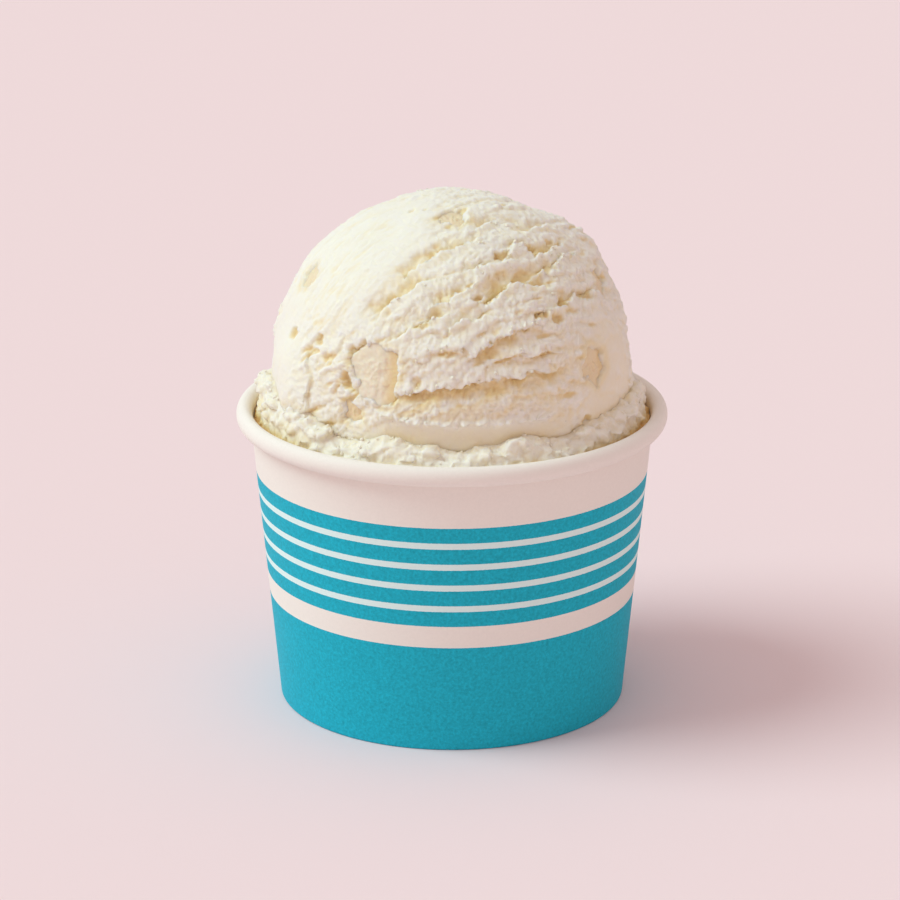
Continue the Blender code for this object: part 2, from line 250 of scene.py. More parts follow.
def turning_tree():
    """Profile points in, turned board out, a little thicker where the strip laps over itself."""
    tree = bpy.data.node_groups.new("turned_board", "GeometryNodeTree")
    sockets = tree.interface
    sockets.new_socket("Profile", in_out="INPUT", socket_type="NodeSocketGeometry")
    for name, kind in (("Steps", "Int"), ("Points", "Int"), ("Lap Azimuth", "Float"), ("Lap Half Angle", "Float"),
                       ("Lap Rise", "Float"), ("Board", "Material")):
        sockets.new_socket(name, in_out="INPUT", socket_type=f"NodeSocket{kind}")
    sockets.new_socket("Turned", in_out="OUTPUT", socket_type="NodeSocketGeometry")
    given = add(tree, "NodeGroupInput").outputs

    def maths(operation, a, b=0.0, c=0.0):
        return add(tree, "ShaderNodeMath", {0: a, 1: b, 2: c}, operation=operation).outputs[0]

    columns = maths("ADD", given["Steps"], 1)
    grid = add(tree, "GeometryNodeMeshGrid", {"Vertices X": columns, "Vertices Y": given["Points"]})
    index = add(tree, "GeometryNodeInputIndex").outputs[0]
    row = maths("MODULO", index, given["Points"])
    column = maths("FLOOR", maths("DIVIDE", index, given["Points"]))
    turn = maths("MULTIPLY", maths("DIVIDE", column, given["Steps"]), math.tau)
    position = add(tree, "GeometryNodeInputPosition").outputs[0]
    sample = add(
        tree,
        "GeometryNodeSampleIndex",
        {"Geometry": given["Profile"], "Value": position, "Index": row},
        data_type="FLOAT_VECTOR",
    )
    parts = add(tree, "ShaderNodeSeparateXYZ", {0: sample.outputs[0]}).outputs
    off = maths("ABSOLUTE", maths("SUBTRACT", turn, given["Lap Azimuth"]))
    inside = maths("LESS_THAN", off, given["Lap Half Angle"])
    outer = maths("GREATER_THAN", parts["Y"], 0.5)
    radius = maths("ADD", parts["X"], maths("MULTIPLY", maths("MULTIPLY", inside, outer), given["Lap Rise"]))
    x = maths("MULTIPLY", radius, maths("SINE", turn))
    y = maths("MULTIPLY", radius, maths("MULTIPLY", maths("COSINE", turn), -1))
    place = add(tree, "ShaderNodeCombineXYZ", {"X": x, "Y": y, "Z": parts["Z"]}).outputs[0]
    bent = add(tree, "GeometryNodeSetPosition", {"Geometry": grid.outputs["Mesh"], "Position": place})
    closed = add(tree, "GeometryNodeMergeByDistance", {"Geometry": bent.outputs[0], "Distance": 0.000002})
    painted = add(tree, "GeometryNodeSetMaterial", {"Geometry": closed.outputs[0], "Material": given["Board"]})
    whole = add(tree, "GeometryNodeRealizeInstances", {"Geometry": painted.outputs[0]})
    add(tree, "NodeGroupOutput", {"Turned": whole.outputs[0]})
    return tree


def set_inputs(modifier, values):
    """Sets a tree's named inputs through their identifiers."""
    for item in modifier.node_group.interface.items_tree:
        if item.item_type == "SOCKET" and item.in_out == "INPUT" and item.name in values:
            modifier[item.identifier] = values[item.name]


def baked(thing, name):
    """The evaluated object as a plain mesh piece; the object it came from goes."""
    evaluated = thing.evaluated_get(bpy.context.evaluated_depsgraph_get())
    mesh = bpy.data.meshes.new_from_object(evaluated)
    mesh.name = name
    bpy.data.objects.remove(thing, do_unlink=True)
    piece = bpy.data.objects.new(name, mesh)
    bpy.context.scene.collection.objects.link(piece)
    return piece


def turned(name, profile, material, outer_count=0, steps=360, lap=(0.0, 0.0, 0.0), closed=True):
    """Turns a profile, whose first and last stretch may lie outside the lap, by the tree above."""
    points = profile + profile[:1] if closed else profile
    mesh = bpy.data.meshes.new(name)
    marks = [1.0 if i < outer_count or outer_count == 0 else 0.0 for i in range(len(points))]
    mesh.from_pydata([(r * MM, mark, z * MM) for (r, z), mark in zip(points, marks)], [], [])
    blank = bpy.data.objects.new(name, mesh)
    bpy.context.scene.collection.objects.link(blank)
    modifier = blank.modifiers.new("turn", "NODES")
    modifier.node_group = turning_tree()
    azimuth, half_angle, rise = lap
    set_inputs(modifier, {"Steps": steps, "Points": len(points), "Lap Azimuth": azimuth,
                          "Lap Half Angle": half_angle, "Lap Rise": rise, "Board": material})
    piece = baked(blank, name)
    shape = bmesh.new()
    shape.from_mesh(piece.data)
    bmesh.ops.recalc_face_normals(shape, faces=shape.faces[:])
    shape.to_mesh(piece.data)
    shape.free()
    piece.data.shade_smooth()
    piece.data.set_sharp_from_angle(angle=math.radians(40))
    print(name, len(piece.data.polygons), "faces")
    return piece


# %% [markdown]
# ## Printed cup board
#
# The wall is white coated board with teal ink: five narrow stripes, a white band and a solid field
# down to the foot. The print is a function of height alone: the height below the first stripe,
# taken modulo the pitch, says where ink lies. The gaps between stripes look cooler than the band,
# because light that enters the board under the ink comes out beside it. Ink on board isn't even: at
# the scale of the fibres it is mottled, and the coating has a faint tooth.

# %% Material: coated board with teal ink
STRIPES = 5
STRIPE_PITCH, STRIPE = 3.85, 2.76
FIRST_STRIPE_TOP = 41.6
FIELD_TOP = 19.47
TEAL, BOARD_WHITE, GAP_WHITE = linear("24B3CA"), linear("F4EEE6"), linear("E2F8F6")
INK_BLEED = 0.10
INK_MOTTLE, BOARD_MOTTLE = 0.42, 0.04


def printed_board():
    material, tree, surface = new_material("coated_cup_board_teal_print")
    place = add(tree, "ShaderNodeTexCoord").outputs["Object"]
    mottle = add(tree, "ShaderNodeTexNoise",
                 {"Vector": place, "Scale": 1 / (0.5 * MM), "Detail": 3.0, "Roughness": 0.75})
    tooth = add(tree, "ShaderNodeTexNoise", {"Vector": place, "Scale": 1 / (0.35 * MM), "Detail": 2.0})

    def maths(operation, a, b=0.0, c=0.0):
        return add(tree, "ShaderNodeMath", {0: a, 1: b, 2: c}, operation=operation).outputs[0]

    level = add(tree, "ShaderNodeSeparateXYZ", {0: place}).outputs["Z"]
    height = maths("MULTIPLY_ADD", tooth.outputs["Fac"], INK_BLEED * MM, level)
    below = maths("SUBTRACT", FIRST_STRIPE_TOP * MM, height)
    half_zone = ((STRIPES - 1) * STRIPE_PITCH + STRIPE) * MM / 2
    in_zone = maths("COMPARE", below, half_zone, half_zone)
    in_stripe = maths("LESS_THAN", maths("MODULO", below, STRIPE_PITCH * MM), STRIPE * MM)
    in_field = maths("LESS_THAN", height, FIELD_TOP * MM)
    inked = maths("MAXIMUM", in_field, maths("MULTIPLY", in_stripe, in_zone))

    board = add(tree, "ShaderNodeMix", {0: in_zone, 6: BOARD_WHITE, 7: GAP_WHITE}, data_type="RGBA").outputs[2]
    print_on = add(tree, "ShaderNodeMix", {0: inked, 6: board, 7: TEAL}, data_type="RGBA").outputs[2]
    amount = maths("MULTIPLY_ADD", inked, INK_MOTTLE - BOARD_MOTTLE, BOARD_MOTTLE)
    shade = add(tree, "ShaderNodeMapRange", {0: mottle.outputs["Fac"], 1: 0.3, 2: 0.7, 3: -0.5, 4: 0.5}).outputs[0]
    light = maths("MULTIPLY_ADD", shade, amount, 1.0)
    ink = add(tree, "ShaderNodeMix", {0: 1.0, 6: print_on, 7: light}, data_type="RGBA", blend_type="MULTIPLY")
    bump = add(tree, "ShaderNodeBump", {"Height": tooth.outputs["Fac"], "Strength": 0.25, "Distance": 0.02 * MM})
    tree.links.new(ink.outputs[2], surface.inputs["Base Color"])
    tree.links.new(bump.outputs[0], surface.inputs["Normal"])
    surface.inputs["Roughness"].default_value = 0.6
    surface.inputs["Specular IOR Level"].default_value = 0.1
    return material


def plain_board():
    material, tree, surface = new_material("coated_base_board")
    place = add(tree, "ShaderNodeTexCoord").outputs["Object"]
    fibre = add(tree, "ShaderNodeTexNoise", {"Vector": place, "Scale": 1 / (0.8 * MM), "Detail": 3.0})
    tone = add(tree, "ShaderNodeMix", {0: fibre.outputs["Fac"], 6: linear("EDE8E4"), 7: linear("F6F3F0")}, data_type="RGBA")
    bump = add(tree, "ShaderNodeBump", {"Height": fibre.outputs["Fac"], "Strength": 0.3, "Distance": 0.03 * MM})
    tree.links.new(tone.outputs[2], surface.inputs["Base Color"])
    tree.links.new(bump.outputs[0], surface.inputs["Normal"])
    surface.inputs["Roughness"].default_value = 0.55
    return material


cup_wall = turned("paper_wall", wall_profile(), printed_board(), outer_count=41 + 17 + 24 + 6,
                  lap=(math.radians(152), math.radians(7), 0.25 * MM))
place_on_root(cup_wall, "cup_board", "cup_wall")
cup_base = turned("paper_base", base_profile(), plain_board(), steps=180, closed=False)
place_on_root(cup_base, "base_board", "cup_base")

# %% [markdown]
# ## Noise and directions
#
# Gelato has no rule for its whole shape, but each mark on it has one. The scoop starts as a fine
# ball whose points are moved in arrays, which is quick enough for a hundred thousand of them. Two
# tools are needed: gradient noise, and directions from azimuth (from the front towards +X) and
# elevation.

# %% Gradient noise in arrays


def gradient_noise(points, seed):
    """Smooth noise from about -1 to 1; the lattice is one unit apart."""
    dice = np.random.default_rng(seed)
    table = dice.permutation(256)
    slopes = dice.normal(size=(256, 3))
    slopes /= np.linalg.norm(slopes, axis=1, keepdims=True)
    cell = np.floor(points).astype(int)
    inside = points - cell
    fade = inside**3 * (inside * (inside * 6 - 15) + 10)
    total = np.zeros(len(points))
    for corner in np.ndindex(2, 2, 2):
        at = (cell + corner) & 255
        pick = table[(table[(table[at[:, 0]] + at[:, 1]) & 255] + at[:, 2]) & 255]
        weight = np.prod(np.where(corner, fade, 1 - fade), axis=1)
        total += weight * ((inside - corner) * slopes[pick]).sum(axis=1)
    return total * 1.7


def fractal(points, spacing, seed, octaves=3, gain=0.5):
    """Noise with finer and weaker layers; spacing in mm."""
    return sum(gradient_noise(points * 2**i / spacing, seed + i) * gain**i for i in range(octaves))


def puffs(points, spacing, seed, octaves=2, gain=0.5):
    """Rounded lumps with sharp creases between them, 0 in the creases."""
    return sum(np.abs(gradient_noise(points * 2**i / spacing, seed + i)) * gain**i for i in range(octaves))


def stretched(points, axis, along, across):
    """Points for noise whose spots are long across an axis and short along it, in mm."""
    height = points @ axis
    return points / along + axis * (height * (1 / across - 1 / along))[:, None]


def direction(azimuth, elevation):
    """Unit vectors for azimuths from the front and elevations, in degrees."""
    a, e = np.radians(azimuth), np.radians(elevation)
    return np.stack([np.sin(a) * np.cos(e), -np.cos(a) * np.cos(e), np.sin(e) + 0 * a], axis=-1)


def smooth(x):
    x = np.clip(x, 0, 1)
    return x * x * (3 - 2 * x)


print("noise ready")

# %% [markdown]
# ## Where the marks lie
#
# A disher drags gelato into ridges as it rolls the ball up. Two kinds show. A hollow sinks gently
# on its upper side and stops at a ragged lip; a ledge hangs over and comes gently out below. Each
# is a stroke through three directions. Pits are single torn spots. Broad swells make the ball
# uneven, and smooth patches are where the scoop's bowl wiped the surface. The drag itself runs
# round a tilted axis, and round a flatter one on the left.

# %% Named marks
SCOOP_CENTRE = np.array([0.2, 0.0, 59.2])
SCOOP_RADIUS = 31.0
DRAG_AXIS = direction(-140, 52)
LEFT_DRAG_AXIS = direction(-143, 14)
HOLLOW, LEDGE = 1.0, -1.0
DRAGGED_RIDGES = [
    ("upper_left", HOLLOW, ((-22, 45), (-16, 50), (-8, 54)), 1.3, 3.2),
    ("upper_right", HOLLOW, ((-7, 54), (4, 58), (18, 60)), 1.1, 2.8),
    ("crown_right", HOLLOW, ((22, 66), (36, 67), (52, 63)), 1.0, 2.6),
    ("crown_far", HOLLOW, ((52, 60), (62, 60), (74, 57)), 1.0, 2.4),
    ("crown_low", HOLLOW, ((24, 53), (34, 56), (46, 55)), 0.9, 2.2),
    ("shoulder_right", HOLLOW, ((44, 50), (56, 51), (70, 50)), 1.1, 2.8),
    ("shoulder_low", HOLLOW, ((40, 44), (56, 46), (72, 45)), 0.8, 2.4),
    ("middle_left", HOLLOW, ((-29, 31), (-22, 38), (-12, 44)), 1.4, 3.6),
    ("middle", HOLLOW, ((-7, 36), (-1, 39), (8, 43)), 1.2, 2.8),
    ("middle_right", HOLLOW, ((15, 38), (26, 42), (42, 40)), 1.6, 4.0),
    ("upper_middle", HOLLOW, ((6, 48), (18, 50), (30, 50)), 0.7, 2.2),
    ("lower_left", HOLLOW, ((-20, 25), (-13, 30), (-3, 33)), 1.1, 2.6),
    ("lower_middle", HOLLOW, ((-1, 27), (4, 31), (12, 32)), 1.0, 2.2),
    ("right_notches", HOLLOW, ((31, 30), (45, 33), (68, 33)), 0.7, 2.2),
    ("long_ledge", LEDGE, ((6, 21), (16, 26), (34, 29)), 1.1, 3.6),
    ("low_ledge", LEDGE, ((-14, 19), (0, 22), (10, 21)), 0.6, 2.0),
    ("small_ledge", LEDGE, ((12, 18), (24, 20), (36, 19)), 0.6, 2.2),
    ("deep_ledge", LEDGE, ((-16, 9), (6, 12), (36, 14)), 1.5, 3.8),
    ("back_high", HOLLOW, ((140, 48), (165, 52), (190, 50)), 1.3, 4.0),
    ("back_middle", HOLLOW, ((120, 30), (150, 34), (180, 31)), 1.5, 4.5),
    ("back_low", LEDGE, ((150, 14), (180, 17), (215, 13)), 1.4, 5.0),
    ("back_crown", HOLLOW, ((150, 66), (185, 68), (215, 63)), 1.0, 3.2),
    ("left_back", HOLLOW, ((-150, 38), (-132, 41), (-116, 46)), 1.1, 3.6),
    ("left_low", LEDGE, ((-168, 2), (-150, 6), (-128, 3)), 1.0, 3.6),
    ("right_back", LEDGE, ((104, 12), (118, 16), (134, 14)), 1.2, 4.0),
    ("left_fold", LEDGE, ((-54, -9), (-52, 3), (-56, 15)), 0.35, 2.0),
]
# Torn spots: azimuth, elevation, half length and half height in mm, depth in mm.
PITS = [
    (10, 39, 1.4, 0.7, 0.9), (15, 38, 1.3, 0.7, 0.9), (45, 54, 1.2, 0.9, 1.2), (28, 53, 1.9, 0.8, 0.9),
    (48, 45, 2.0, 0.8, 0.8), (34, 31, 2.0, 0.8, 0.9), (40, 29, 1.2, 0.8, 0.9), (45, 33, 1.5, 1.1, 1.0),
    (60, 33, 1.8, 1.0, 1.0), (-67, 18, 1.4, 1.0, 1.0), (-51, 20, 1.0, 0.9, 0.8), (-36, 9, 1.0, 2.0, 1.4),
    (-34, 19.5, 2.0, 1.1, 1.4), (-20, 6.5, 0.8, 1.2, 0.9), (-51, 73, 0.5, 0.4, 0.5), (-36, 75, 0.5, 0.4, 0.5),
    (-42, -15, 3.0, 1.2, 0.8), (-64, -9, 1.4, 1.2, 0.9), (47, -5, 1.2, 0.9, 0.8), (-12, 12, 0.9, 0.8, 0.6),
    (150, 6, 1.6, 1.0, 1.0), (-95, 22, 1.5, 0.9, 0.9), (-118, 27, 1.8, 0.8, 0.9), (97, 30, 1.6, 0.9, 0.9),
]
SWELLS = [
    (107, 42, 1.5, 15), (126, 62, -0.7, 11), (-102, 33, 0.7, 14), (-95, 14, 0.5, 6), (-88, -4, 0.4, 10),
    (-62, -3, 1.7, 11), (-66, 9, 0.6, 8), (-120, -4, 1.3, 12), (97, 19, 0.3, 6), (94, 9, -0.7, 8),
    (-24, 12, -0.6, 14), (-36, -1, -0.6, 9), (8, 6, -0.5, 10),
]
FRONT_LIP = ((-24, 1), (4, -1), (32, 0))
FRONT_BAND = ((-26, -5), (4, -6.5), (34, -6))
# A patch on the ball's shaded right side that gets golden painted shade.
RIGHT_SIDE_SHADE = (56, 2, 26, 22, 1.0)
# The icy face under the deep ledge: granular, with fewer tears and flakes, and golden painted shade.
ICY = (6, 4.5, 27, 6, 1.0)
# Smooth patches: azimuth, elevation, half width and half height in degrees, how smooth (0 to 1).
WIPED = [
    (-62, 54, 50, 32, 0.8), (-75, 8, 16, 26, 0.9), (62, 2, 16, 24, 0.8), (4, -7, 34, 6.5, 1.0),
    (170, -4, 40, 8, 0.7), (-160, 70, 60, 18, 0.5),
]
print(len(DRAGGED_RIDGES), "dragged ridges,", len(PITS), "pits")

# %% [markdown]
# Gelato squeezed out from under the scoop stands round it as a skirt: a bed of crumbs at the
# front, and heaps elsewhere. Its section is given from the scoop outwards to the cup's wall.

# %% Where the skirt stands
SKIRT_TOP = [(29.5, 56.2), (31.2, 56.0), (32.4, 55.0), (33.2, 53.0), (33.8, 50.9), (34.2, 50.5), (34.5, 51.0)]
SKIRT_FOOT = 47.5
SKIRT_EDGE, SKIRT_SHOULDER = 34.2, 1.6
BED_DROP, BED_FILL = 1.6, 1.5
BED_MIDDLE, BED_HALF_ANGLE, BED_FADE = -2.0, 34.0, 12.0
HEAPS = [
    (-84, 24, 2.3), (-56, 16, 1.5), (-38, 10, -0.6), (-19, 11, 1.3), (1, 8, -1.1), (22, 12, 1.4), (38, 8, -0.9),
    (75, 30, 0.3), (160, 40, 1.0),
]


def bed_share(azimuth):
    """1 in the low bed of crumbs at the front, 0 in the skirt."""
    off = np.abs((azimuth - BED_MIDDLE + 180) % 360 - 180)
    return 1 - smooth((off - BED_HALF_ANGLE) / BED_FADE)


def heaped(azimuth):
    """How much higher than its plain section the skirt stands, in mm."""
    rise = -BED_DROP * bed_share(azimuth)
    for middle, half_width, height in HEAPS:
        rise = rise + height * smooth(1 - np.abs((azimuth - middle + 180) % 360 - 180) / half_width)
    return rise


def skirt_height(radius, azimuth):
    """How high the skirt stands; at the front its crumbs fill the cup up to the rim."""
    plain = np.interp(radius, *zip(*SKIRT_TOP))
    fill = BED_FILL * bed_share(azimuth) * smooth((radius - 32.2) / 1.2)
    return plain + heaped(azimuth) * smooth((SKIRT_EDGE - radius) / SKIRT_SHOULDER) + fill


print(len(HEAPS), "heaps")

# %% [markdown]
# ## The fruit's places
#
# The fruit was cut up and folded in, so pieces lie at any angle with one face at the surface. A
# piece is what its knife cuts leave: flat cuts at given angles and distances from its middle. The
# same cuts tell the gelato where to make room.

# %% Fruit: azimuth, elevation, cuts as (angle, distance in mm), depth, how far out its face stands, how ripe it is
FRUIT = [
    (-26, 13, ((178, 5.8), (130, 5.4), (80, 5.4), (35, 5.4), (-12, 4.6), (-105, 4.8), (-150, 4.2)), 6.5, -0.25, 0.0),
    (52, 11, ((180, 3.9), (120, 3.6), (60, 3.7), (5, 3.6), (-50, 3.2), (-125, 3.1)), 5.0, -0.45, 0.6),
    (0, 72, ((170, 2.7), (100, 2.6), (30, 2.8), (-40, 2.7), (-110, 2.6)), 5.0, -0.45, 0.45),
    (-76, 36, ((150, 2.6), (75, 2.5), (10, 2.7), (-70, 2.6), (-130, 2.8)), 5.0, -0.45, 0.45),
    (-34, -1, ((175, 2.3), (95, 2.9), (20, 2.2), (-60, 2.6), (-120, 2.3)), 4.0, -0.5, 0.7),
    (77, 35, ((160, 2.4), (80, 2.3), (0, 2.5), (-80, 2.4)), 4.0, -0.45, 0.5),
    (158, 24, ((175, 4.1), (110, 3.6), (40, 4.4), (-30, 3.9), (-100, 3.8)), 6.5, 0.2, 0.2),
    (-138, 12, ((160, 3.5), (90, 4.2), (25, 3.6), (-60, 4.0), (-120, 3.7)), 6.0, 0.2, 0.3),
    (-170, 56, ((180, 3.0), (115, 2.8), (50, 3.2), (-30, 2.7), (-100, 3.0)), 5.0, 0.2, 0.2),
]


POCKET_DEPTH = 2.0
POCKET_EDGE = -0.35
BRINK = 0.7


def fruit_axes(azimuth, elevation):
    """Across, up and out of a piece of fruit, as unit vectors."""
    turn = Matrix.Rotation(math.radians(azimuth), 3, "Z") @ Matrix.Rotation(math.radians(-elevation), 3, "X")
    return (np.array(turn @ Vector(axis)) for axis in ((1, 0, 0), (0, 0, 1), (0, -1, 0)))


def pockets(ways, rough):
    """How far the gelato sinks under the fruit, in mm, and how near each way is to a pocket's edge."""
    sink, brink = np.zeros(len(ways)), np.zeros(len(ways))
    for azimuth, elevation, cuts, _, _, _ in FRUIT:
        across, up, out = fruit_axes(azimuth, elevation)
        x, y = ways @ across * SCOOP_RADIUS, ways @ up * SCOOP_RADIUS
        edge = np.full(len(ways), -1e3)
        for angle, distance in cuts:
            edge = np.maximum(edge, x * math.cos(math.radians(angle)) + y * math.sin(math.radians(angle)) - distance)
        facing = (ways @ out) > 0.5
        sink = np.maximum(sink, facing * POCKET_DEPTH * smooth((POCKET_EDGE + 0.6 * rough - edge) / 1.1))
        brink = np.maximum(brink, facing * np.exp(-((edge / BRINK) ** 2)))
    return sink, brink


print(len(FRUIT), "pieces of fruit")

# %% The ball's relief


def stroke_marks(points, samples=72):
    """A stroke's places on the unit ball and its upward side at each."""
    t = np.linspace(0, 1, samples + 1)[:, None]
    a, b, c = (np.array(p, float) for p in points)
    path = a * (1 - t) * (1 - 2 * t) + b * 4 * t * (1 - t) + c * t * (2 * t - 1)
    places = direction(path[:, 0], path[:, 1])
    ahead = np.gradient(places, axis=0)
    up = np.cross(places, ahead)
    return places, up / np.linalg.norm(up, axis=1, keepdims=True), t[:, 0]


def beside_stroke(points, ways):
    """Distance above the stroke in mm, how strongly it counts, and its upward side, for each way."""
    places, ups, t = stroke_marks(points)
    nearest = np.argmax(ways @ places.T, axis=1)
    gap = ways - places[nearest]
    up = ups[nearest]
    above = (gap * up).sum(axis=1)
    past = np.linalg.norm(gap - up * above[:, None], axis=1) * SCOOP_RADIUS
    at = t[nearest]
    strength = smooth(1 - past / 2.5) * smooth(np.minimum(at, 1 - at) / 0.15 + 0.45)
    return above * SCOOP_RADIUS, strength, up


def patch_share(ways, patch):
    """1 in the middle of a patch, 0 outside it."""
    middle_a, middle_e, wide, tall, amount = patch
    azimuth = np.degrees(np.arctan2(ways[:, 0], -ways[:, 1]))
    elevation = np.degrees(np.arcsin(np.clip(ways[:, 2], -1, 1)))
    off_a = (azimuth - middle_a + 180) % 360 - 180
    reach = np.sqrt((off_a / wide) ** 2 + ((elevation - middle_e) / tall) ** 2)
    return amount * smooth((1.25 - reach) / 0.5)


def ridge_relief(ways, ragged):
    """What the named strokes cut away and raise, and how far their lips shift."""
    place = ways * SCOOP_RADIUS
    cut, raised = np.zeros(len(ways)), np.zeros(len(ways))
    shift = np.zeros((len(ways), 3))
    lips = np.zeros(len(ways))
    for number, (_, kind, points, depth, reach) in enumerate(DRAGGED_RIDGES):
        above, strength, up = beside_stroke(points, ways)
        wander = 0.8 * ragged + 0.5 * gradient_noise(place / 4.0, 40 + number)
        side = above * kind + wander
        fade = strength * (0.9 + 0.6 * gradient_noise(place / 3.0, 70 + number))
        hollow = np.where(side > 0, smooth(side / 0.5 + 0.3) * np.clip(1 - side / reach, 0, 1) ** 1.1, 0)
        cut = np.maximum(cut, fade * depth * hollow)
        lip = np.exp(-(((side + 0.4) / 0.5) ** 2)) * np.clip(fade, 0, 1)
        raised = np.maximum(raised, 0.35 * lip)
        shift += up * (kind * 0.5 * lip)[:, None]
        lips = np.maximum(lips, lip)
    return cut, raised, shift, lips


def pit_relief(ways, ragged):
    """Depth of the torn spots."""
    depth = np.zeros(len(ways))
    for azimuth, elevation, long, tall, deep in PITS:
        middle = direction(azimuth, elevation)
        along = np.cross(DRAG_AXIS, middle)
        along /= np.linalg.norm(along)
        offset = (ways - middle) * SCOOP_RADIUS
        across = np.cross(middle, along)
        reach = np.sqrt((offset @ along / long) ** 2 + (offset @ across / tall) ** 2) + 0.55 * ragged
        facing = ways @ middle > 0.8
        depth = np.maximum(depth, facing * deep * smooth((1.15 - reach) / 0.6))
    return depth


FLAKE_HEIGHT = 3.0


def flake_relief(ways, ragged):
    """Low torn steps, each with its lip below, from 0 to 1."""
    place = ways * SCOOP_RADIUS
    steps = place @ DRAG_AXIS / FLAKE_HEIGHT + 0.55 * gradient_noise(place / 6.0, 160) + 0.14 * ragged
    share = steps - np.floor(steps)
    return np.maximum(1 - share, smooth((share - 0.72) / 0.28))


def broad_height(ways):
    """Swells and slow unevenness, in mm."""
    height = 0.35 * gradient_noise(ways * SCOOP_RADIUS / 7.0, 3)
    for azimuth, elevation, rise, radius in SWELLS:
        off = np.degrees(np.arccos(np.clip(ways @ direction(azimuth, elevation), -1, 1)))
        height = height + rise * np.exp(-((off / radius) ** 2))
    return height


def ball_relief(ways):
    """Height over the ball, a sideways shift, golden painted shade and how crumbly it is, for each way."""
    place = ways * SCOOP_RADIUS
    wiped = np.max([patch_share(ways, patch) for patch in WIPED], axis=0)
    coarse = 1 - wiped
    left = smooth((-0.25 - ways[:, 0]) / 0.35) * smooth((ways[:, 2] - 0.3) / 0.3)
    ragged = fractal(place, 2.2, 11, octaves=4, gain=0.55)

    height = broad_height(ways)
    cut, raised, shift, lips = ridge_relief(ways, ragged)
    above, strength, up = beside_stroke(FRONT_LIP, ways)
    bead = np.exp(-(((above + 0.3 * ragged) / 0.5) ** 2)) * strength
    beads = 0.55 + 0.9 * gradient_noise(place / 0.9, 150)
    lips = np.maximum(lips, 0.9 * bead)

    patchy = np.clip(0.55 + 0.9 * gradient_noise(place / 6.0, 170), 0, 1)
    tears = fractal(stretched(place, DRAG_AXIS, 5.0, 1.5), 1.0, 90, octaves=2, gain=0.45)
    icy = patch_share(ways, ICY)
    torn_and_shaded = smooth((tears - 0.28) / 0.4) * coarse * patchy * (1 - 0.8 * icy)
    strands = fractal(stretched(place, LEFT_DRAG_AXIS, 5.0, 1.1), 1.0, 95, octaves=3, gain=0.6)
    flakes = flake_relief(ways, ragged)
    grain = fractal(place, 0.8, 120, octaves=2, gain=0.9)
    lumps = puffs(place, 2.2, 140, octaves=2, gain=0.5) - 0.40
    pits = pit_relief(ways, ragged)

    sink, brink = pockets(ways, ragged)
    height = height + raised - cut - pits - sink + 1.0 * bead * np.clip(beads, 0.1, 1.2)
    height = height + (0.10 + 0.55 * patchy) * coarse * (flakes - 0.5) * (1 - 0.8 * left) * (1 - 0.8 * icy)
    height = height - 0.45 * torn_and_shaded * (1 - left) + (0.04 + 0.13 * left) * strands
    height = height + 0.10 * coarse * lumps * (1 - 0.5 * left) + (0.05 + 0.17 * coarse + 0.08 * icy) * grain
    band = beside_stroke(FRONT_BAND, ways)
    concave = band[1] * np.exp(-((band[0] / 2.2) ** 2))
    height = height - 0.35 * concave
    # The hollow mark is golden painted shade: in cuts, pits, tears and under flake steps; lump crests get less.
    hollow = cut / 1.1 + pits / 0.8 + 1.2 * torn_and_shaded + 1.1 * coarse * (0.5 - flakes) * patchy - 0.5 * lumps * coarse
    # More painted shade in the band's cove, on the shaded right side and round the fruit's pockets.
    hollow = hollow + 0.30 * concave + 0.25 * patch_share(ways, RIGHT_SIDE_SHADE) - 0.3 * left * strands + 0.4 * brink
    # More painted shade on the face under the deep ledge; the bead's crest gets none.
    hollow = hollow + 0.3 * icy - bead
    hollow = np.clip(hollow, 0, 1)
    return height, shift, hollow, lips * coarse


# %% [markdown]
# ## The scoop
#
# A polar grid would pinch at the crown, so the ball is a cube blown up to a sphere: five square
# grids of equal angles, whose points crowd a little towards the front. The hidden foot is shut by
# a fan. Each point goes out by the relief and a little sideways at the lips, so that they hang
# over their hollows.

# %% Building the ball


def box_ball(steps, foot, crowd):
    """Unit directions and quads of a ball from five grids; its open foot's edge comes last."""
    angles = np.radians(np.linspace(-45, 45, steps + 1))
    low = np.radians(np.linspace(foot, 45, round(steps * (45 - foot) / 90) + 1))
    top_a, top_b = np.meshgrid(angles, angles, indexing="ij")
    grids = [np.stack([np.tan(top_a), np.tan(top_b), np.ones_like(top_a)], axis=-1)]
    side_a, side_b = np.meshgrid(angles, low, indexing="ij")
    for quarter in range(4):
        turn = math.radians(90 * quarter)
        out, across = np.array([math.sin(turn), -math.cos(turn), 0]), np.array([math.cos(turn), math.sin(turn), 0])
        grids.append(out + np.tan(side_a)[..., None] * across + np.tan(side_b)[..., None] * np.array([0, 0, 1.0]))
    ways, quads, rims, start = [], [], [], 0
    for grid in grids:
        index = start + np.arange(grid.shape[0] * grid.shape[1]).reshape(grid.shape[:2])
        quads.append(np.stack([index[:-1, :-1], index[1:, :-1], index[1:, 1:], index[:-1, 1:]], axis=-1).reshape(-1, 4))
        if start:
            rims.append(np.stack([index[:-1, 0], index[1:, 0]], axis=-1))
        ways.append(grid.reshape(-1, 3))
        start += index.size
    ways = np.concatenate(ways)
    ways /= np.linalg.norm(ways, axis=1, keepdims=True)
    _, first, same = np.unique(np.round(ways, 6), axis=0, return_index=True, return_inverse=True)
    same = same.reshape(-1)
    ways = ways[first] + np.array([0, -crowd, 0])
    return ways / np.linalg.norm(ways, axis=1, keepdims=True), same[np.concatenate(quads)], same[np.concatenate(rims)]


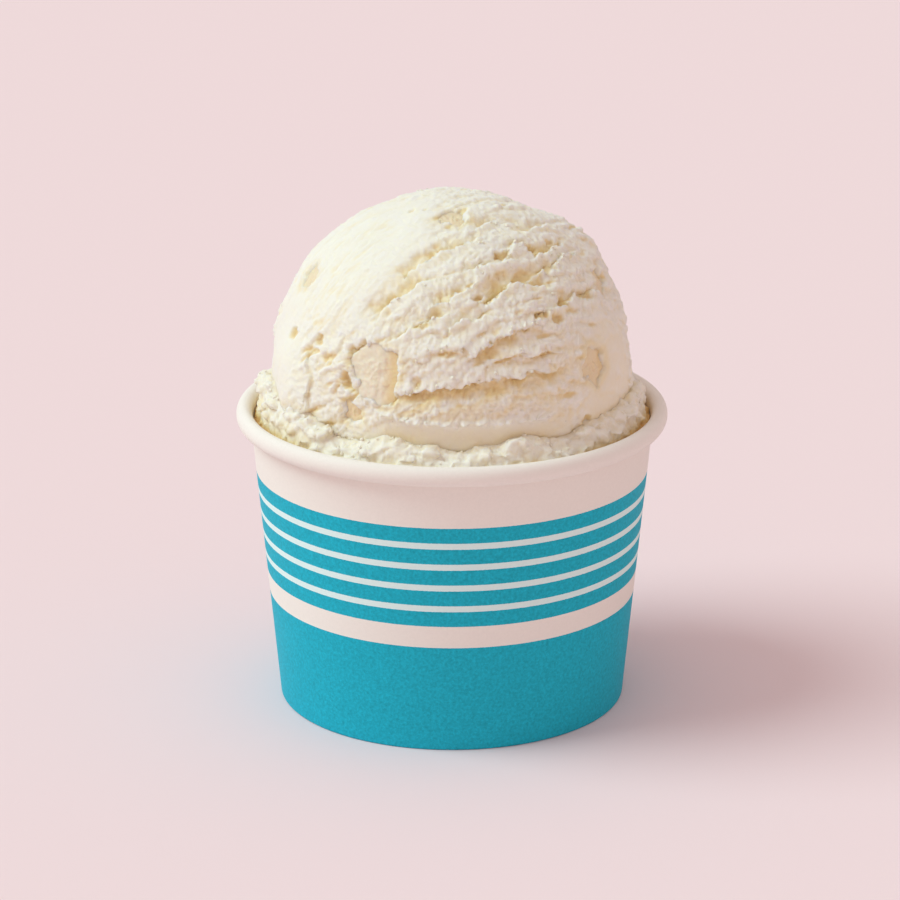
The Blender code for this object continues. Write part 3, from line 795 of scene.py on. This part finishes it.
def piece_from(name, places, faces, material, **marks):
    """A smooth mesh piece from places in mm, with a float attribute for each mark."""
    mesh = bpy.data.meshes.new(name)
    mesh.from_pydata((places * MM).tolist(), [], faces)
    for label, values in marks.items():
        mesh.attributes.new(label, "FLOAT", "POINT").data.foreach_set("value", values.astype(np.float32))
    mesh.materials.append(material)
    mesh.shade_smooth()
    piece = bpy.data.objects.new(name, mesh)
    bpy.context.scene.collection.objects.link(piece)
    print(name, len(mesh.polygons), "faces")
    return piece


# %% [markdown]
# ## Gelato, frozen cream
#
# Fruit gelato is milk, sugar and fine ice. Light goes in about a millimetre and comes out again, so
# shade inside the hollows turns golden instead of grey: subsurface scattering does part of that,
# and the hollow mark on the mesh paints the rest as golden painted shade in hollows, tears, creases
# and round the fruit, and, past 1, as deeper painted shade in the gap beside the cup's wall. The surface is
# damp frost: fairly rough, with a grain of ice crystals too fine for the mesh. A few vanilla seeds
# are dark dots in it.

# %% Material: gelato
# The third colour is golden painted shade for hollows, tears and creases.
CREAM, CREAM_SHADE, HOLLOW_SHADE_CREAM = linear("F7F3E8"), linear("F5F0E0"), linear("F2DEAB")
# A deeper golden painted shade for the gap beside the cup's wall.
GAP_SHADE_CREAM, SEED = linear("E9C07E"), linear("7A5A30")


def gelato_material(name, glow):
    material, tree, surface = new_material(name)
    place = add(tree, "ShaderNodeTexCoord").outputs["Object"]
    cloud = add(tree, "ShaderNodeTexNoise", {"Vector": place, "Scale": 1 / (6 * MM), "Detail": 2.0})
    frost = add(tree, "ShaderNodeTexNoise", {"Vector": place, "Scale": 1 / (0.45 * MM), "Detail": 5.0, "Roughness": 0.75})
    hollow = add(tree, "ShaderNodeAttribute", attribute_name="hollow").outputs["Fac"]
    seeded = add(tree, "ShaderNodeAttribute", attribute_name="seeded").outputs["Fac"]
    cells = add(tree, "ShaderNodeTexVoronoi", {"Vector": place, "Scale": 1 / (2.6 * MM)})
    dot = add(tree, "ShaderNodeMath", {0: cells.outputs["Distance"], 1: 0.055}, operation="LESS_THAN")
    speck = add(tree, "ShaderNodeMath", {0: dot.outputs[0], 1: seeded}, operation="MULTIPLY")
    tone = add(tree, "ShaderNodeMix", {0: cloud.outputs["Fac"], 6: CREAM, 7: CREAM_SHADE}, data_type="RGBA")
    # Golden painted shade in the hollows, as much as the hollow mark gives.
    torn_and_shaded = add(tree, "ShaderNodeMix", {0: hollow, 6: tone.outputs[2], 7: HOLLOW_SHADE_CREAM}, data_type="RGBA")
    # Past 1, a deeper golden painted shade for the gap beside the cup's wall.
    past = add(tree, "ShaderNodeMath", {0: hollow, 1: 1.0}, operation="SUBTRACT")
    gap_shade = add(tree, "ShaderNodeMix", {0: past.outputs[0], 6: torn_and_shaded.outputs[2], 7: GAP_SHADE_CREAM}, data_type="RGBA")
    whole = add(tree, "ShaderNodeMix", {0: speck.outputs[0], 6: gap_shade.outputs[2], 7: SEED}, data_type="RGBA")
    bump = add(tree, "ShaderNodeBump", {"Height": frost.outputs["Fac"], "Strength": 0.65, "Distance": 0.2 * MM})
    tree.links.new(whole.outputs[2], surface.inputs["Base Color"])
    tree.links.new(bump.outputs[0], surface.inputs["Normal"])
    surface.inputs["Roughness"].default_value = 0.55
    surface.inputs["IOR"].default_value = 1.33
    surface.inputs["Subsurface Weight"].default_value = glow
    surface.inputs["Subsurface Radius"].default_value = (1.0, 0.97, 0.65)
    surface.inputs["Subsurface Scale"].default_value = 1.7 * MM
    return material


gelato = gelato_material("frozen_cream_gelato", 0.6)
skirt_gelato = gelato_material("frozen_cream_squeezed_out", 0.25)
loose_gelato = gelato_material("frozen_cream_crumbs", 0.0)
print("gelato ready")

# %% The scoop's mesh
BALL_STEPS = 160
BALL_FOOT = -18.0
FRONT_CROWD = 0.2
TUCK_START, TUCK_FADE, TUCK = -9.5, 6.0, 4.0
# Golden painted shade along the crease where the scoop sinks into its skirt.
SEAM_SHADE = 0.4  # how golden the crease is where the scoop sinks into its skirt
BAND = (3, -7, 36, 6.5, 1.0)


def scoop_mesh():
    ways, quads, rim = box_ball(BALL_STEPS, BALL_FOOT, FRONT_CROWD)
    height, shift, hollow, crumbly = ball_relief(ways)
    elevation = np.degrees(np.arcsin(ways[:, 2]))
    tuck = smooth((TUCK_START - elevation) / TUCK_FADE) * TUCK
    places = SCOOP_CENTRE + ways * (SCOOP_RADIUS + height - tuck)[:, None] + shift
    top = cad_box[1][2] / MM - 0.02
    places[:, 2] = np.minimum(places[:, 2], top)
    crest = SKIRT_TOP[1][1] + heaped(np.degrees(np.arctan2(ways[:, 0], -ways[:, 1])))
    # Golden painted shade along the crease into the skirt.
    hollow = np.clip(hollow + SEAM_SHADE * np.exp(-(((places[:, 2] - crest - 0.2) / 0.9) ** 2)), 0, 1)
    foot = places[np.unique(rim)].mean(axis=0)
    fan = [(int(b), int(a), len(places)) for a, b in rim]
    marks = {"hollow": hollow, "crumbly": crumbly, "seeded": patch_share(ways, BAND)}
    marks = {name: np.append(values, 0.0) for name, values in marks.items()}
    return piece_from("gelato_scoop", np.vstack([places, foot]), quads.tolist() + fan, gelato, **marks)


scoop = scoop_mesh()
place_on_root(scoop, "gelato", "ice_cream")

# %% [markdown]
# ## The skirt
#
# A ring of the skirt's rough section carries hundreds of uneven lumps, from large to small. A
# voxel remesh melts them into one skin with real creases, and noise bends and roughens it.

# %% The skirt's lumps
LUMP_KINDS = [(60, 1.4, 2.3), (160, 0.7, 1.3), (600, 0.35, 0.7)]
SKIRT_VOXEL = 0.29


def skirt_core(shape):
    """The turned ring under the lumps."""
    steps = 180
    rings = []
    for step in range(steps):
        azimuth = 360 * step / steps
        way = np.array([math.sin(math.radians(azimuth)), -math.cos(math.radians(azimuth))])
        top = [(r, float(skirt_height(r, azimuth))) for r, _ in SKIRT_TOP]
        section = [(27.0, SKIRT_FOOT), (34.2, SKIRT_FOOT)] + top[::-1] + [(27.0, top[0][1])]
        rings.append([shape.verts.new((*(way * r), z)) for r, z in section])
    for near, far in zip(rings, rings[1:] + rings[:1]):
        for i in range(len(near)):
            j = (i + 1) % len(near)
            shape.faces.new((near[i], far[i], far[j], near[j]))


def skirt_lumps(shape):
    """Flat uneven lumps that lie on the ring, from large to small."""
    dice = np.random.default_rng(8)
    for count, smallest, largest in LUMP_KINDS:
        for azimuth in np.linspace(-180, 180, count, endpoint=False) + dice.uniform(-4, 4, count):
            size = dice.uniform(smallest, largest)
            radius = dice.uniform(30.9, 33.7 - 0.35 * size)
            z = float(skirt_height(radius, azimuth)) + size * dice.uniform(-0.5, 0.05)
            way = Matrix.Rotation(math.radians(azimuth), 4, "Z")
            spin = Matrix.Rotation(dice.uniform(-0.5, 0.5), 4, Vector(dice.normal(size=3)).normalized())
            scale = Matrix.Diagonal((*(size * dice.uniform((0.9, 0.6, 0.4), (1.5, 1.0, 0.75))), 1))
            place = way @ Matrix.Translation((0, -radius, z))
            bmesh.ops.create_icosphere(shape, subdivisions=2, radius=1.0, matrix=place @ spin @ scale)


def melted(shape, name, voxel):
    """One skin over everything in the mesh, by a voxel remesh; places in mm."""
    mesh = bpy.data.meshes.new(name)
    shape.to_mesh(mesh)
    shape.free()
    blank = bpy.data.objects.new(name, mesh)
    bpy.context.scene.collection.objects.link(blank)
    skin = blank.modifiers.new("skin", "REMESH")
    skin.mode = "VOXEL"
    skin.voxel_size = voxel
    piece = baked(blank, name)
    places = np.array([v.co for v in piece.data.vertices])
    normals = np.array([v.normal for v in piece.data.vertices])
    faces = [tuple(face.vertices) for face in piece.data.polygons]
    bpy.data.objects.remove(piece, do_unlink=True)
    return places, normals, faces


def skirt_mesh():
    shape = bmesh.new()
    skirt_core(shape)
    bmesh.ops.recalc_face_normals(shape, faces=shape.faces[:])
    skirt_lumps(shape)
    places, normals, faces = melted(shape, "skirt_skin", SKIRT_VOXEL)
    warp = np.stack([gradient_noise(places / 1.8, 210 + i) for i in range(3)], axis=-1)
    rough = fractal(places, 1.1, 200, octaves=3, gain=0.75)
    places = places + 0.45 * warp + normals * (0.2 * rough)[:, None]
    radius = np.linalg.norm(places[:, :2], axis=1)
    limit = np.minimum(radius, wall_inside(places[:, 2]) - 0.1)
    places[:, :2] *= (limit / radius)[:, None]
    azimuth = np.degrees(np.arctan2(places[:, 0], -places[:, 1]))
    crest = SKIRT_TOP[1][1] + heaped(azimuth)
    # The skirt's hollow mark is golden painted shade: in its low spots, below its crest, and past 1 where it sinks
    # beside the cup's wall.
    sunk = smooth((52.6 - places[:, 2]) / 1.8)
    hollow = np.clip(0.2 * smooth((0.1 - rough) / 0.6) + 0.4 * smooth((crest - 1.9 - places[:, 2]) / 2) + 1.6 * sunk, 0, 2)
    beside = np.linalg.norm(places - SCOOP_CENTRE, axis=1) - SCOOP_RADIUS
    # Golden painted shade where the skirt meets the scoop.
    hollow = np.clip(hollow + 0.6 * SEAM_SHADE * np.exp(-(((beside - 0.4) / 0.6) ** 2)), 0, 2)
    crumbly = (1 - sunk) * (places[:, 2] > crest - 2.0)
    return piece_from("gelato_skirt", places, faces, skirt_gelato, hollow=hollow, crumbly=crumbly)


skirt = skirt_mesh()
place_on_root(skirt, "gelato")

# %% [markdown]
# ## Crumbs
#
# Frozen crumbs cling to torn lips and lie all over the skirt. They repeat over a surface, so
# Geometry Nodes scatters them: more where the mesh's crumbly mark is high, each with its own size,
# stretch and turn.

# %% Geometry Nodes: crumbs over a surface
CRUMB_SIZES = (0.16 * MM, 0.42 * MM)


def crumb_tree():
    tree = bpy.data.node_groups.new("loose_crumbs", "GeometryNodeTree")
    sockets = tree.interface
    sockets.new_socket("Surface", in_out="INPUT", socket_type="NodeSocketGeometry")
    for name, kind in (("Per Square Metre", "Float"), ("Smallest", "Float"), ("Largest", "Float"), ("Seed", "Int"),
                       ("Gelato", "Material")):
        sockets.new_socket(name, in_out="INPUT", socket_type=f"NodeSocket{kind}")
    sockets.new_socket("Crumbs", in_out="OUTPUT", socket_type="NodeSocketGeometry")
    given = add(tree, "NodeGroupInput").outputs
    mark = add(tree, "GeometryNodeInputNamedAttribute", {"Name": "crumbly"}, data_type="FLOAT").outputs["Attribute"]
    density = add(tree, "ShaderNodeMath", {0: mark, 1: given["Per Square Metre"]}, operation="MULTIPLY").outputs[0]
    points = add(tree, "GeometryNodeDistributePointsOnFaces",
                 {"Mesh": given["Surface"], "Density": density, "Seed": given["Seed"]})
    crumb = add(tree, "GeometryNodeMeshIcoSphere", {"Radius": 1.0, "Subdivisions": 1})
    size = add(tree, "FunctionNodeRandomValue",
               {2: given["Smallest"], 3: given["Largest"], "Seed": given["Seed"]}, data_type="FLOAT").outputs[1]
    stretch = add(tree, "FunctionNodeRandomValue",
                  {0: (0.6, 0.6, 0.6), 1: (1.2, 1.2, 1.2), "Seed": 3}, data_type="FLOAT_VECTOR").outputs[0]
    turn = add(tree, "FunctionNodeRandomValue",
               {0: (0, 0, 0), 1: (math.tau, math.tau, math.tau), "Seed": 4}, data_type="FLOAT_VECTOR").outputs[0]
    scale = add(tree, "ShaderNodeVectorMath", {0: stretch, "Scale": size}, operation="SCALE").outputs[0]
    spread = add(tree, "GeometryNodeInstanceOnPoints",
                 {"Points": points.outputs["Points"], "Instance": crumb.outputs["Mesh"], "Rotation": turn, "Scale": scale})
    whole = add(tree, "GeometryNodeRealizeInstances", {"Geometry": spread.outputs[0]})
    lumps = add(tree, "ShaderNodeTexNoise", {"Scale": 1 / (0.5 * MM)})
    centred = add(tree, "ShaderNodeVectorMath", {0: lumps.outputs["Color"], 1: (0.5, 0.5, 0.5)}, operation="SUBTRACT")
    push = add(tree, "ShaderNodeVectorMath", {0: centred.outputs[0], "Scale": 0.4 * MM}, operation="SCALE")
    rough = add(tree, "GeometryNodeSetPosition", {"Geometry": whole.outputs[0], "Offset": push.outputs[0]})
    soft = add(tree, "GeometryNodeSetShadeSmooth", {"Geometry": rough.outputs[0]})
    painted = add(tree, "GeometryNodeSetMaterial", {"Geometry": soft.outputs[0], "Material": given["Gelato"]})
    add(tree, "NodeGroupOutput", {"Crumbs": painted.outputs[0]})
    return tree


def crumbs_on(surface, name, per_square_mm, seed):
    blank = bpy.data.objects.new(name, surface.data.copy())
    bpy.context.scene.collection.objects.link(blank)
    modifier = blank.modifiers.new("crumbs", "NODES")
    modifier.node_group = crumb_tree()
    set_inputs(modifier, {"Per Square Metre": per_square_mm / MM**2, "Smallest": CRUMB_SIZES[0],
                          "Largest": CRUMB_SIZES[1], "Seed": seed, "Gelato": loose_gelato})
    piece = baked(blank, name)
    place_on_root(piece, "gelato")
    print(name, len(piece.data.polygons), "faces")
    return piece


crumbs_on(scoop, "crumbs_on_scoop", 0.6, 21)
crumbs_on(skirt, "crumbs_on_skirt", 0.12, 22)

# %% [markdown]
# ## Fruit
#
# Soft poached fruit is translucent: light passes right through its thin corners. A fine ball is
# pushed in until it meets every cut, with the cuts' edges rounded by a high power, and noise gives
# its faces the coarse grain of the flesh. Each piece's right side, seen from outside, gets golden painted shade.

# %% Material and pieces of fruit


def fruit_material():
    material, tree, surface = new_material("poached_pear_flesh")
    place = add(tree, "ShaderNodeTexCoord").outputs["Object"]
    ripe = add(tree, "ShaderNodeAttribute", attribute_name="ripe").outputs["Fac"]
    flesh = add(tree, "ShaderNodeTexNoise", {"Vector": place, "Scale": 1 / (0.9 * MM), "Detail": 4.0, "Roughness": 0.6})
    pale = add(tree, "ShaderNodeMix", {0: flesh.outputs["Fac"], 6: linear("E9DABB"), 7: linear("F1EAD9")}, data_type="RGBA")
    # Golden where a piece is ripe, and as painted shade on each piece's right side.
    tone = add(tree, "ShaderNodeMix", {0: ripe, 6: pale.outputs[2], 7: linear("EBD3A4")}, data_type="RGBA")
    bump = add(tree, "ShaderNodeBump", {"Height": flesh.outputs["Fac"], "Strength": 0.35, "Distance": 0.15 * MM})
    tree.links.new(tone.outputs[2], surface.inputs["Base Color"])
    tree.links.new(bump.outputs[0], surface.inputs["Normal"])
    surface.inputs["Roughness"].default_value = 0.38
    surface.inputs["IOR"].default_value = 1.36
    surface.inputs["Subsurface Weight"].default_value = 0.35
    surface.inputs["Subsurface Radius"].default_value = (1.0, 0.75, 0.4)
    surface.inputs["Subsurface Scale"].default_value = 1.0 * MM
    return material


flesh = fruit_material()
EDGE_POWER = 16
FACE_TILTS = (-4, 12)


def fruit_piece(number, azimuth, elevation, cuts, depth, proud, ripeness):
    across, up, out = fruit_axes(azimuth, elevation)
    way = direction(azimuth, elevation)
    middle = SCOOP_CENTRE + way * (SCOOP_RADIUS + float(broad_height(way[None])[0]) + proud - depth / 2)
    shape = bmesh.new()
    bmesh.ops.create_icosphere(shape, subdivisions=6, radius=1.0)
    ways = np.array([v.co for v in shape.verts])
    faces = [tuple(v.index for v in face.verts) for face in shape.faces]
    shape.free()
    planes = [((math.cos(math.radians(a)), math.sin(math.radians(a)), 0), distance) for a, distance in cuts]
    planes += [((math.sin(math.radians(a)), 0, math.cos(math.radians(a))), depth / 2) for a in FACE_TILTS]
    planes.append(((0, 0, -1), depth / 2))
    closeness = sum((np.clip(ways @ np.array(normal), 0, None) / distance) ** EDGE_POWER for normal, distance in planes)
    local = ways * closeness[:, None] ** (-1 / EDGE_POWER)
    grain = 0.22 * fractal(local + number * 17.0, 1.8, 300, octaves=3, gain=0.65)
    local = local + ways * grain[:, None]
    places = middle + local[:, :1] * across + local[:, 1:2] * up + local[:, 2:] * out
    # The piece's own ripeness, plus golden painted shade towards its right side.
    ripe = np.clip(ripeness + smooth(local[:, 0] / 2.5 - 0.3), 0, 1)
    piece = piece_from(f"fruit_{number}", places, faces, flesh, ripe=ripe)
    place_on_root(piece, "fruit", f"fruit_piece_{number}")
    return piece


for number, facts in enumerate(FRUIT, start=1):
    fruit_piece(number, *facts)
print("fruit ready")
